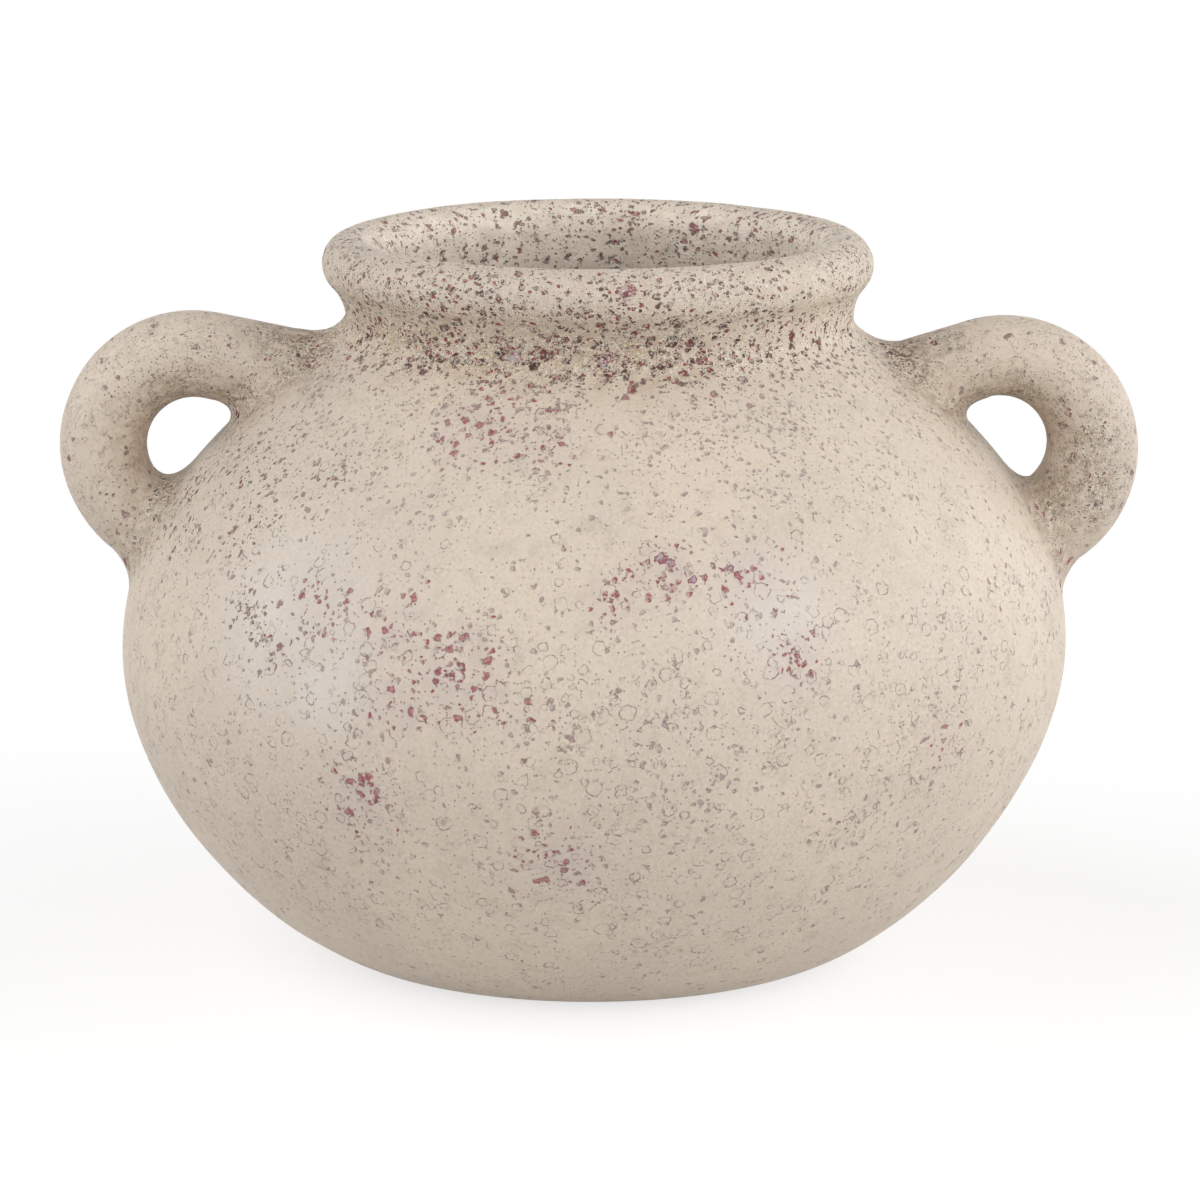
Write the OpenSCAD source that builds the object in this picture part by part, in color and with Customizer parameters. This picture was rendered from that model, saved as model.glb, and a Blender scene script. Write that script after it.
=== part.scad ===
// Two-handled vase: a squat, round-bellied pot with a rolled rim and two round ear handles.
// The clay is built up in sections: a base slab, two bowl halves that meet at the belly, a neck
// collar and a rim roll. Each handle is a bent rod cut to the curve of the wall, and a soft coil
// is pressed into the crease round each of its roots.
// The outline is a chain of curves, and every section, seat and cut is taken from that one chain.

/* [Body] */
// Height from the foot to the top of the rim
vase_h = 176.2; // [166:0.2:196]
// Widest diameter of the belly
belly_d = 230; // [215:1:250]
// Height of the widest point above the foot
belly_z = 76.2; // [68:0.2:84]
// Diameter of the flat foot
foot_d = 107; // [85:1:125]
// How far the wall runs on level before it turns up from the foot
foot_sweep = 20.7; // [12:0.1:32]
// How far the wall stays upright below the widest point
belly_hold = 37.6; // [26:0.2:48]
// How far the wall stays upright above the widest point
shoulder_hold = 48.8; // [38:0.2:54]
// Thickness of the wall
wall = 8; // [6:0.5:10]
// Thickness of the base slab
floor_t = 9; // [7:0.5:12]
// How far the edge of the base slab leans in over the height of one wall thickness
slab_bevel = 4; // [2:0.5:7]

/* [Neck and rim] */
// Outer diameter of the rim
rim_d = 133.4; // [118:0.2:150]
// How far the waist of the neck lies in from the outer edge of the rim
neck_in = 5.3; // [3.5:0.1:7.5]
// Height from the waist of the neck to the top of the rim
rim_rise = 20.8; // [18.4:0.2:26]
// How far the neck stays upright below its waist
neck_hold = 7.9; // [5:0.1:12]
// Height of the neck collar below the waist, down to its seam on the shoulder
collar_drop = 6; // [4:0.5:10]
// Height of the rim's seat above the waist
seat_rise = 2.6; // [1.5:0.1:4]
// Diameter of the roll that forms the rim
rim_roll_d = 14.4; // [12:0.2:16]
// How far the inside of the neck stays upright below the roll
throat_hold = 9; // [6:0.5:13]

/* [Handles] */
// Diameter of the handle rod
handle_d = 21.5; // [16:0.1:23]
// Bend radius of the rod's centre line
bend_r = 22.2; // [19:0.2:28]
// Height of the bend's centre below the waist of the neck
handle_drop = 31; // [26:0.2:36]
// Distance from the wall to the bend's centre, measured level
handle_stand = 2.6; // [0:0.1:10]
// Angle by which the left handle's straight upper arm slopes down towards the shoulder
left_slope = 12; // [5:1:25]
// Angle by which the right handle's straight upper arm slopes down towards the shoulder
right_slope = 17; // [5:1:25]
// Angle by which the bend runs on past its lowest point, into the belly
lower_run = 15; // [10:1:25]
// How much lower the right handle is set than the left one
right_set_down = 1.3; // [0:0.1:4]
// How much further out the right handle stands than the left one
right_set_out = 1.1; // [0:0.1:4]

/* [Luting coils] */
// How far a coil spreads along the rod and along the wall
coil_leg = 8; // [5:0.5:9]
// Thickness left at the smoothed edge of a coil
coil_lip = 0.7; // [0.4:0.1:1.2]

/* [Hidden] */
$fn = 240;

cream = "#DDD1BE";
warm_cream = "#D9CBB2";
grey_cream = "#CFC3B2";
bare_clay = "#B9A792";

// Radii and heights that follow from the sizes above
belly_r = belly_d / 2;
foot_r = foot_d / 2;
neck_r = rim_d / 2 - neck_in;
rod_r = handle_d / 2;
roll_r = rim_roll_d / 2;
waist_z = vase_h - rim_rise;
roll_z = vase_h - roll_r;
ring_r = rim_d / 2 - roll_r;
throat_r = ring_r - roll_r;
seat_z = waist_z + seat_rise;

// Steps along each stretch of the outline
bowl_steps = 16;
collar_steps = 6;
neck_steps = 4;
roll_steps = 28;
throat_steps = 5;

// Cubic curve through four control points, each [radius, height], and its direction
function curve(p, t) =
    pow(1 - t, 3) * p[0] + 3 * t * pow(1 - t, 2) * p[1]
    + 3 * t * t * (1 - t) * p[2] + pow(t, 3) * p[3];
function curve_dir(p, t) =
    pow(1 - t, 2) * (p[1] - p[0]) + 2 * t * (1 - t) * (p[2] - p[1]) + t * t * (p[3] - p[2]);
// Place along a climbing curve at which it reaches a height, by halving
function curve_at(p, z, lo = 0, hi = 1, n = 30) =
    let (mid = (lo + hi) / 2)
    n == 0 ? mid
    : curve(p, mid)[1] < z ? curve_at(p, z, mid, hi, n - 1)
    : curve_at(p, z, lo, mid, n - 1);
// Point one wall thickness inside a curve
function inside(p, t) =
    let (d = curve_dir(p, t))
    curve(p, t) - wall * [d[1], -d[0]] / norm(d);
function stretch(p, t0, t1, n) = [for (i = [0:n]) curve(p, t0 + (t1 - t0) * i / n)];
function inner_stretch(p, t0, t1, n) = [for (i = [0:n]) inside(p, t0 + (t1 - t0) * i / n)];
function arc(c, r, a0, a1, n) =
    [for (i = [0:n]) let (a = a0 + (a1 - a0) * i / n) c + r * [cos(a), sin(a)]];

// The outline: foot to belly, belly to waist, then a cove that runs into the roll without a step
lower_curve = [
    [foot_r, 0],
    [foot_r + foot_sweep, 0],
    [belly_r, belly_z - belly_hold],
    [belly_r, belly_z]
];
shoulder_curve = [
    [belly_r, belly_z],
    [belly_r, belly_z + shoulder_hold],
    [neck_r, waist_z - neck_hold],
    [neck_r, waist_z]
];
roll_c = [ring_r, roll_z];
cove_dz = roll_z - waist_z;
cove_dr = neck_r - ring_r;
cove_r = (cove_dz * cove_dz + cove_dr * cove_dr - roll_r * roll_r) / (2 * neck_in);
cove_c = [neck_r + cove_r, waist_z];
cove_end = atan2(cove_dz, -cove_dr - cove_r);
cove_seat = 180 - asin(seat_rise / cove_r);
cove_top_z = waist_z + cove_r * sin(cove_end);

// The collar's seam on the shoulder, and the inside of the neck from that seam up to the roll
collar_t = curve_at(shoulder_curve, waist_z - collar_drop);
collar_in = inside(shoulder_curve, collar_t);
collar_dir = curve_dir(shoulder_curve, collar_t);
throat_curve = [
    collar_in,
    collar_in + throat_hold * collar_dir / norm(collar_dir),
    [throat_r, roll_z - throat_hold],
    [throat_r, roll_z]
];
throat_t = curve_at(throat_curve, seat_z);

// Outer radius of the body at a height, up to the top of the cove
function body_r(z) =
    z < belly_z ? curve(lower_curve, curve_at(lower_curve, z))[0]
    : z < waist_z ? curve(shoulder_curve, curve_at(shoulder_curve, z))[0]
    : let (h = min(z, cove_top_z) - waist_z) neck_r + cove_r - sqrt(cove_r * cove_r - h * h);

// The body filled in to its axis, which cuts the handles and the coils to the wall
module body_envelope() {
    rotate_extrude()
        polygon(concat(
            [[0, 0]],
            stretch(lower_curve, 0, 1, bowl_steps),
            stretch(shoulder_curve, 0, collar_t, bowl_steps),
            stretch(shoulder_curve, collar_t, 1, collar_steps),
            arc(cove_c, cove_r, 180, cove_end, neck_steps),
            arc(roll_c, roll_r, cove_end - 180, 90, roll_steps),
            [[0, vase_h]]
        ));
}

// Flat round slab that the pot stands on, its edge bevelled to take the wall
module base_slab() {
    color(bare_clay)
        cylinder(h = floor_t, r1 = foot_r, r2 = foot_r - slab_bevel * floor_t / wall);
}

// Lower half of the belly, luted round the bevel of the slab
module lower_bowl() {
    color(cream)
        rotate_extrude()
            polygon(concat(
                stretch(lower_curve, 0, 1, bowl_steps),
                inner_stretch(lower_curve, 1, 0, bowl_steps),
                [[foot_r - slab_bevel, wall]]
            ));
}

// Upper half of the belly and the shoulder, seated on the rim of the lower half
module upper_bowl() {
    color(cream)
        rotate_extrude()
            polygon(concat(
                stretch(shoulder_curve, 0, collar_t, bowl_steps),
                inner_stretch(shoulder_curve, collar_t, 0, bowl_steps)
            ));
}

// Waisted collar between the shoulder and the rim
module neck_collar() {
    color(grey_cream)
        rotate_extrude()
            polygon(concat(
                stretch(shoulder_curve, collar_t, 1, collar_steps),
                arc(cove_c, cove_r, 180, cove_seat, neck_steps),
                stretch(throat_curve, throat_t, 0, throat_steps)
            ));
}

// Rolled rim on its level seat
module rim_roll() {
    color(cream)
        rotate_extrude()
            polygon(concat(
                arc(cove_c, cove_r, cove_seat, cove_end, neck_steps),
                arc(roll_c, roll_r, cove_end - 180, 180, roll_steps),
                stretch(throat_curve, 1, throat_t, throat_steps)
            ));
}

// Centre of a handle's bend, for the right side (1) or the left side (-1)
stand_r = body_r(waist_z - handle_drop) + handle_stand;
function bend_x(side) = stand_r + (side > 0 ? right_set_out : 0);
function bend_z(side) = waist_z - handle_drop - (side > 0 ? right_set_down : 0);
// The bend runs from the straight upper arm, round the outside and on into the belly
function upper_end(side) = 90 + (side > 0 ? right_slope : left_slope);
lower_end = -90 - lower_run;
arm_len = 2 * handle_d;

// Bent rod of one handle, its two ends run on into the body, drawn on the right side
module rod(side) {
    translate([bend_x(side), 0, bend_z(side)])
        rotate([90, 0, 0])
            rotate([0, 0, upper_end(side)]) {
                rotate_extrude(angle = lower_end - upper_end(side))
                    translate([bend_r, 0])
                        circle(r = rod_r);
                translate([bend_r, 0, 0])
                    rotate([-90, 0, 0])
                        cylinder(h = arm_len, r = rod_r);
            }
}

module on_side(side) {
    mirror([side > 0 ? 0 : 1, 0, 0])
        children();
}

module handle(side) {
    color(warm_cream)
        on_side(side)
            difference() {
                rod(side);
                body_envelope();
            }
}

// Point on a rod of any radius. s runs along the centre line from the outermost point of the bend,
// up (1) or down (-1) to a root, and psi runs round the section.
function bend_s(side) = bend_r * upper_end(side) * PI / 180;
function rod_turn(side, up, s) = up * (up > 0 ? min(s, bend_s(side)) : s) / bend_r * 180 / PI;
function rod_point(side, up, s, psi, r) =
    let (turn = rod_turn(side, up, s))
    let (straight = up > 0 ? max(s - bend_s(side), 0) : 0)
    let (c = [bend_x(side), bend_z(side)] + (bend_r + r * cos(psi)) * [cos(turn), sin(turn)]
        + straight * [-sin(upper_end(side)), cos(upper_end(side))])
    [c[0], r * sin(psi), c[1]];
// Direction from the centre line to that point
function rod_normal(side, up, s, psi) =
    let (turn = rod_turn(side, up, s))
    [cos(psi) * cos(turn), sin(psi), cos(psi) * sin(turn)];
// Distance along the rod at which one of its lines meets the wall, by halving
function crease_s(side, up, psi, lo, hi, n = 24) =
    let (mid = (lo + hi) / 2)
    let (q = rod_point(side, up, mid, psi, rod_r))
    n == 0 ? mid
    : norm([q[0], q[1]]) > body_r(q[2]) ? crease_s(side, up, psi, mid, hi, n - 1)
    : crease_s(side, up, psi, lo, mid, n - 1);

// Outward normal of the wall at a point near it, and that point brought onto the wall
slope_step = wall / 80;
function wall_normal(q) =
    let (slope = (body_r(q[2] + slope_step) - body_r(q[2] - slope_step)) / (2 * slope_step))
    let (level = [q[0], q[1]] / norm([q[0], q[1]]))
    [level[0], level[1], -slope] / norm([1, slope]);
function on_wall(q) =
    let (level = [q[0], q[1]] / norm([q[0], q[1]]))
    [body_r(q[2]) * level[0], body_r(q[2]) * level[1], q[2]];

coil_stations = 40;
coil_steps = 4;
coil_bite = 1.5 * coil_lip;

// Section of a luting coil: a cove from the rod to the wall, with its hidden corner run on into
// both of them
function coil_section(side, up, psi) =
    let (far = up > 0 ? bend_s(side) + arm_len : -lower_end * bend_r * PI / 180)
    let (s = crease_s(side, up, psi, 0, far))
    let (crease = rod_point(side, up, s, psi, rod_r))
    let (up_wall = wall_normal(crease))
    let (away = rod_normal(side, up, s, psi))
    let (spread = away - (away * up_wall) * up_wall)
    let (foot = on_wall(crease + coil_leg * spread / norm(spread)))
    let (rod_edge = rod_point(side, up, s - coil_leg, psi, rod_r + coil_lip))
    let (wall_edge = foot + coil_lip * wall_normal(foot))
    let (corner = crease + coil_lip * up_wall)
    concat(
        [rod_point(side, up, s - coil_leg, psi, rod_r - coil_bite)],
        [for (i = [0:coil_steps])
            let (t = i / coil_steps)
            pow(1 - t, 2) * rod_edge + 2 * t * (1 - t) * corner + t * t * wall_edge],
        [foot - coil_bite * wall_normal(foot)],
        [rod_point(side, up, s + coil_bite, psi, rod_r - coil_bite)]
    );

// Closed ring of sections, skinned with triangles
module skin_ring(sections) {
    m = len(sections);
    k = len(sections[0]);
    points = [for (section = sections) each section];
    faces = [
        for (i = [0:m - 1])
            for (j = [0:k - 1])
                let (i2 = (i + 1) % m, j2 = (j + 1) % k)
                each [
                    [i * k + j, i2 * k + j2, i * k + j2],
                    [i * k + j, i2 * k + j, i2 * k + j2]
                ]
    ];
    polyhedron(points, faces, convexity = 6);
}

module luting_coil(side, up) {
    color(grey_cream)
        on_side(side)
            difference() {
                skin_ring([
                    for (i = [0:coil_stations - 1])
                        coil_section(side, up, 360 * i / coil_stations)
                ]);
                rod(side);
                body_envelope();
            }
}

module left_handle() { handle(-1); }
module right_handle() { handle(1); }
module left_upper_luting_coil() { luting_coil(-1, 1); }
module left_lower_luting_coil() { luting_coil(-1, -1); }
module right_upper_luting_coil() { luting_coil(1, 1); }
module right_lower_luting_coil() { luting_coil(1, -1); }

base_slab();
lower_bowl();
upper_bowl();
neck_collar();
rim_roll();
left_handle();
right_handle();
left_upper_luting_coil();
left_lower_luting_coil();
right_upper_luting_coil();
right_lower_luting_coil();
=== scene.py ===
# %% [markdown]
# # A two-handled clay vase in a pitted cream coat
#
# The real pot is built by hand from red clay and brushed with a thick cream coat. The coat bubbled
# as it dried, and the bubbles burst, so the red clay shows through in hundreds of small pits.
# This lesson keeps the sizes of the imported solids. It turns the walls again with finer faces, draws
# the ear handles, lets the coat grow its pits as real geometry, and lights it all like a studio
# picture.

# %% Load the frame
import math

import bmesh
import bpy
import numpy as np
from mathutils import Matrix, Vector


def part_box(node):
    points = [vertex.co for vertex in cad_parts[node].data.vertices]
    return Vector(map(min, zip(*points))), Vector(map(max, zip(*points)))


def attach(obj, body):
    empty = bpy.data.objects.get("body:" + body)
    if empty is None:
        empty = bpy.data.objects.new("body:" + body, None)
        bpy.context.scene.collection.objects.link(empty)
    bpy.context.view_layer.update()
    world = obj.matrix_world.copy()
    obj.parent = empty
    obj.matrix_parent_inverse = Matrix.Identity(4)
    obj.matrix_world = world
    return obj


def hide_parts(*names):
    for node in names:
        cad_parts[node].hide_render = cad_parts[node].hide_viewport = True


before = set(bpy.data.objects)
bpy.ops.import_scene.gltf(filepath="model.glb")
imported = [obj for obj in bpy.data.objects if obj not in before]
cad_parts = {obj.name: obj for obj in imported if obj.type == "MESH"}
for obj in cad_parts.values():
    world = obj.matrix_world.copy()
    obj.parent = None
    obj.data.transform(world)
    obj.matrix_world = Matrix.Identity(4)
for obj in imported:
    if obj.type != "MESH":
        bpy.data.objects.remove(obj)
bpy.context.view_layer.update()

MM = 0.001

# %% [markdown]
# ## The camera
#
# The picture was taken from about 1.4 m, a little above the rim, with a long lens: the far edge of
# the rim is hardly smaller than the near one. A focal length could be tried out until the pot fits,
# but a camera is set more surely by what it sees. So its lens follows from how many pixels of the
# picture one millimetre covers at the axis of the pot.

# %% Camera
picture_px = 1200
px_per_mm = 4.10
axis_px = 597
aim_height = 85.7 * MM
camera_distance = 1.4
camera_elevation = math.radians(11.8)

lens = bpy.data.cameras.new("long_lens")
lens.sensor_width = 36.0
lens.lens = lens.sensor_width * camera_distance * px_per_mm / MM / picture_px
lens.shift_x = (picture_px / 2 - axis_px) / picture_px
camera = bpy.data.objects.new("camera", lens)
bpy.context.scene.collection.objects.link(camera)
back = Vector((0, -math.cos(camera_elevation), math.sin(camera_elevation)))
camera.location = Vector((0, 0, aim_height)) + camera_distance * back
camera.rotation_euler = (-back).to_track_quat("-Z", "Y").to_euler()
bpy.context.scene.camera = camera
bpy.context.scene.view_settings.view_transform = "Standard"
print("lens in mm:", round(lens.lens, 1))

# %% [markdown]
# ## Two helpers for nodes
#
# Colours are picked as sRGB hex codes, but the shader works in linear light, so one function turns
# the first into the second. The other adds a node to any tree, sets it up and links what feeds it,
# so that a tree reads from top to bottom like a recipe. A node that feeds another gives its first
# live output.

# %% Helpers for nodes
def linear(hex_code):
    """Linear colour, with full alpha, of an sRGB hex code."""
    parts = [int(hex_code[i:i + 2], 16) / 255 for i in (1, 3, 5)]
    return [c / 12.92 if c <= 0.04045 else ((c + 0.055) / 1.055) ** 2.4 for c in parts] + [1.0]


def add(tree, kind, feeds=None, **settings):
    """A new node in a tree, with its settings made and its inputs linked or set."""
    node = tree.nodes.new(kind)
    for name, value in settings.items():
        setattr(node, name, value)
    live = [socket for socket in node.inputs if socket.enabled]
    for key, source in (feeds or {}).items():
        socket = live[key] if isinstance(key, int) else next(s for s in live if s.name == key)
        if isinstance(source, bpy.types.Node):
            source = next(s for s in source.outputs if s.enabled)
        if isinstance(source, bpy.types.NodeSocket):
            tree.links.new(source, socket)
        elif isinstance(source, str) and source.startswith("#"):
            socket.default_value = linear(source)
        else:
            socket.default_value = source
    return node


# %% [markdown]
# ## Studio light and floor
#
# The picture was lit by large softboxes on both sides, hardly higher than the pot, by a weak fill from
# the front, and by a white floor that throws light back up under the belly. Area lamps could stand
# for the softboxes, but a sun lamp with a wide angle is as soft, and lights the whole floor evenly.
# To the camera the floor glows a little, so that it stays white to the edge of the picture and keeps
# only a faint shadow of the pot.

# %% Softboxes
softboxes = {
    "left_softbox": {"strength": 1.86, "bearing": -76, "elevation": 31, "spread": 80},
    "right_softbox": {"strength": 1.79, "bearing": 52, "elevation": 9, "spread": 80},
    "right_strip": {"strength": 2.08, "bearing": 100, "elevation": 7, "spread": 80},
    "front_fill": {"strength": 0.55, "bearing": 0, "elevation": 16, "spread": 60},
}
for name, box in softboxes.items():
    lamp = bpy.data.lights.new(name, "SUN")
    lamp.energy = box["strength"]
    lamp.angle = math.radians(box["spread"])
    stand = bpy.data.objects.new(name, lamp)
    turn = math.radians(box["bearing"])
    climb = math.radians(box["elevation"])
    towards = Vector((math.sin(turn) * math.cos(climb), -math.cos(turn) * math.cos(climb),
                      math.sin(climb)))
    stand.rotation_euler = towards.to_track_quat("Z", "Y").to_euler()
    bpy.context.scene.collection.objects.link(stand)
print("softboxes:", len(softboxes))


# %% White surroundings
def looked_at(tree):
    """One for rays that show the surroundings: from the camera, off a gloss or through glass."""
    ray = add(tree, "ShaderNodeLightPath")
    mirrored = add(tree, "ShaderNodeMath", {0: ray.outputs["Is Glossy Ray"],
                                            1: ray.outputs["Is Transmission Ray"]},
                   operation="MAXIMUM")
    return add(tree, "ShaderNodeMath", {0: ray.outputs["Is Camera Ray"], 1: mirrored},
               operation="MAXIMUM")


sky_strength = 0.13
world = bpy.data.worlds.new("studio")
bpy.context.scene.world = world
world.use_nodes = True
sky = world.node_tree
sky.nodes.clear()
glow = add(sky, "ShaderNodeMapRange", {"Value": looked_at(sky), "To Min": sky_strength, "To Max": 1.0})
ground = add(sky, "ShaderNodeBackground", {"Color": "#FFFFFF", "Strength": glow})
add(sky, "ShaderNodeOutputWorld", {"Surface": ground})
print("light from all round:", sky_strength)

# %% Paper floor
# Uncoated studio paper from a wide roll: to the eye an even white without sheen, greyed by shadow
paper = bpy.data.materials.new("white_paper")
paper.use_nodes = True
sheet = paper.node_tree
sheet.nodes.clear()
matt = add(sheet, "ShaderNodeBsdfDiffuse", {"Color": "#DEDEDE"})
shaded = add(sheet, "ShaderNodeBsdfDiffuse", {"Color": "#ACACAC"})
paper_glow = add(sheet, "ShaderNodeEmission", {"Strength": 0.7})
bright = add(sheet, "ShaderNodeAddShader", {0: shaded, 1: paper_glow})
pick = add(sheet, "ShaderNodeMixShader", {0: looked_at(sheet), 1: matt, 2: bright})
add(sheet, "ShaderNodeOutputMaterial", {"Surface": pick})

floor_half = 8.0
floor_mesh = bpy.data.meshes.new("paper_floor")
floor_mesh.from_pydata([(-floor_half, -floor_half, 0), (floor_half, -floor_half, 0),
                        (floor_half, floor_half, 0), (-floor_half, floor_half, 0)],
                       [], [(0, 1, 2, 3)])
floor_mesh.materials.append(paper)
floor = bpy.data.objects.new("paper_floor", floor_mesh)
bpy.context.scene.collection.objects.link(floor)
print("floor in metres:", 2 * floor_half)

# %% [markdown]
# ## The outline of the pot
#
# A thrown or coiled body is one outline turned round its axis: foot to belly, belly to neck, a cove,
# and the roll of the rim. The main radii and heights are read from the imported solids. The values
# typed here only say how the curves swing between them. The solids could be smoothed instead, but a
# curve gives points as close as the coat needs them. Each stretch gives points and the way that the
# clay faces there, because the coat will later sink along that way.

# %% Sizes of the body
slab_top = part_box("base_slab")[1]
shoulder_low, shoulder_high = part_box("upper_bowl")
collar_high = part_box("neck_collar")[1]
rim_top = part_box("rim_roll")[1]

foot_r = slab_top.x
floor_t = slab_top.z
belly_r = shoulder_high.x
belly_z = shoulder_low.z
collar_z = shoulder_high.z
seat_z = collar_high.z
rim_r = rim_top.x
vase_h = rim_top.z

wall = 8 * MM
slab_bevel = 4 * MM
foot_sweep = 20.7 * MM
belly_hold = 37.6 * MM
shoulder_hold = 48.8 * MM
neck_hold = 7.9 * MM
neck_in = 5.3 * MM
rim_rise = 20.8 * MM
roll_r = 7.2 * MM
throat_hold = 9 * MM

neck_r = rim_r - neck_in
waist_z = vase_h - rim_rise
roll_c = np.array([rim_r - roll_r, vase_h - roll_r])
print("belly radius, neck radius in mm:", round(belly_r / MM, 1), round(neck_r / MM, 1))


# %% Curves and arcs
def curve(p, t):
    """Points of a Bezier curve with four control points."""
    t = np.asarray(t)[:, None]
    return (1 - t) ** 3 * p[0] + 3 * t * (1 - t) ** 2 * p[1] + 3 * t * t * (1 - t) * p[2] + t ** 3 * p[3]


def curve_dir(p, t):
    """The way that such a curve runs."""
    t = np.asarray(t)[:, None]
    return (1 - t) ** 2 * (p[1] - p[0]) + 2 * t * (1 - t) * (p[2] - p[1]) + t * t * (p[3] - p[2])


def stretch(p, spacing, start=0.0, end=1.0):
    """Evenly spaced points of a curve, and the way to its right."""
    t = np.linspace(start, end, 600)
    steps = np.linalg.norm(np.diff(curve(p, t), axis=0), axis=1)
    run = np.concatenate([[0], np.cumsum(steps)])
    t = np.interp(np.linspace(0, run[-1], max(2, round(run[-1] / spacing) + 1)), run, t)
    d = curve_dir(p, t)
    side = np.stack([d[:, 1], -d[:, 0]], axis=1)
    return curve(p, t), side / np.linalg.norm(side, axis=1, keepdims=True)


def arc(centre, radius, start, end, spacing, facing):
    """Evenly spaced points of an arc. It faces away from its centre (1) or towards it (-1)."""
    n = max(2, round(abs(end - start) * radius / spacing) + 1)
    a = np.linspace(start, end, n)
    spoke = np.stack([np.cos(a), np.sin(a)], axis=1)
    return centre + radius * spoke, facing * spoke


def at_height(p, z):
    """Place along a climbing curve at which it reaches a height."""
    t = np.linspace(0, 1, 4000)
    return float(np.interp(z, curve(p, t)[:, 1], t))


# %% Curves of the outline
lower_curve = np.array([(foot_r, 0), (foot_r + foot_sweep, 0),
                        (belly_r, belly_z - belly_hold), (belly_r, belly_z)])
shoulder_curve = np.array([(belly_r, belly_z), (belly_r, belly_z + shoulder_hold),
                           (neck_r, waist_z - neck_hold), (neck_r, waist_z)])
cove_dz = roll_c[1] - waist_z
cove_dr = neck_r - roll_c[0]
cove_r = (cove_dz ** 2 + cove_dr ** 2 - roll_r ** 2) / (2 * neck_in)
cove_c = np.array([neck_r + cove_r, waist_z])
cove_end = math.atan2(cove_dz, -cove_dr - cove_r)
cove_seat = math.pi - math.asin((seat_z - waist_z) / cove_r)

collar_t = at_height(shoulder_curve, collar_z)
# A gap longer than the stretch leaves its two ends alone
collar_p, collar_out = stretch(shoulder_curve, 1.0, collar_t, 1.0)
collar_in = collar_p[0] - wall * collar_out[0]
collar_up = np.array([-collar_out[0][1], collar_out[0][0]])
throat_r = roll_c[0] - roll_r
throat_curve = np.array([collar_in, collar_in + throat_hold * collar_up,
                         (throat_r, roll_c[1] - throat_hold), (throat_r, roll_c[1])])
throat_t = at_height(throat_curve, seat_z)
print("cove radius, throat radius in mm:", round(cove_r / MM, 1), round(throat_r / MM, 1))

# %% Radius at any height
outline_gap = 0.5 * MM
outline = np.concatenate([
    stretch(lower_curve, outline_gap)[0][:-1],
    stretch(shoulder_curve, outline_gap)[0][:-1],
    arc(cove_c, cove_r, math.pi, cove_end, outline_gap, -1)[0][:-1],
    arc(roll_c, roll_r, cove_end - math.pi, math.pi / 2, outline_gap, 1)[0],
])


def body_r(z):
    """Outer radius of the body at a height."""
    return np.interp(z, outline[:, 1], outline[:, 0])


print("points of the outline:", len(outline))

# %% [markdown]
# ## Turning the body
#
# A wheel tree in Geometry Nodes does what the potter's wheel does. It takes one profile, a row of
# points, lays out a grid with one row for each point and one column for each step of the turn, and
# moves every grid point to its profile point turned round the axis. Merging the doubled points
# closes the seam. A Screw modifier could turn the points as well, but this tree also turns the way
# that each of them faces. The profile is fine on the outside, where the coat needs small faces for
# its pits, and coarse on the inside.

# %% Wheel tree
def new_tree(name, sockets):
    """A geometry tree that takes a mesh and the named values, and gives one mesh."""
    tree = bpy.data.node_groups.new(name, "GeometryNodeTree")
    tree.interface.new_socket("Mesh", in_out="INPUT", socket_type="NodeSocketGeometry")
    for label, kind in sockets:
        tree.interface.new_socket(label, in_out="INPUT", socket_type=kind)
    tree.interface.new_socket("Mesh", in_out="OUTPUT", socket_type="NodeSocketGeometry")
    return tree, tree.nodes.new("NodeGroupInput").outputs


wheel, taken = new_tree("potters_wheel", [("Steps", "NodeSocketInt"), ("Closing Rows", "NodeSocketInt"),
                                          ("Clay", "NodeSocketMaterial")])
count = add(wheel, "GeometryNodeAttributeDomainSize", {0: taken["Mesh"]}, component="MESH")
rows = add(wheel, "ShaderNodeMath", {0: count, 1: taken["Closing Rows"]}, operation="ADD")
columns = add(wheel, "ShaderNodeMath", {0: taken["Steps"], 1: 1.0}, operation="ADD")
grid = add(wheel, "GeometryNodeMeshGrid", {"Vertices X": columns, "Vertices Y": rows})
index = add(wheel, "GeometryNodeInputIndex")
row = add(wheel, "ShaderNodeMath", {0: index, 1: rows}, operation="MODULO")
turn = add(wheel, "ShaderNodeMath", {0: index, 1: rows}, operation="DIVIDE")
column = add(wheel, "ShaderNodeMath", {0: turn}, operation="FLOOR")
share = add(wheel, "ShaderNodeMath", {0: column, 1: taken["Steps"]}, operation="DIVIDE")
angle = add(wheel, "ShaderNodeMath", {0: share, 1: 2 * math.pi}, operation="MULTIPLY")
source_row = add(wheel, "ShaderNodeMath", {0: row, 1: count}, operation="MODULO")

# %% Turned profile
profile_place = add(wheel, "GeometryNodeInputPosition")
profile_facing = add(wheel, "GeometryNodeInputNamedAttribute", {"Name": "facing"},
                     data_type="FLOAT_VECTOR")
turned = []
for field in (profile_place, profile_facing):
    picked = add(wheel, "GeometryNodeSampleIndex", {"Geometry": taken["Mesh"], "Value": field,
                                                    "Index": source_row},
                 data_type="FLOAT_VECTOR", domain="POINT")
    turned.append(add(wheel, "ShaderNodeVectorRotate", {"Vector": picked, "Angle": angle},
                      rotation_type="Z_AXIS"))
placed = add(wheel, "GeometryNodeSetPosition", {"Geometry": grid, "Position": turned[0]})
kept = add(wheel, "GeometryNodeStoreNamedAttribute", {"Geometry": placed, "Name": "facing",
                                                      "Value": turned[1]},
           data_type="FLOAT_VECTOR", domain="POINT")
closed = add(wheel, "GeometryNodeMergeByDistance", {"Geometry": kept, "Distance": 1e-6})
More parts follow.
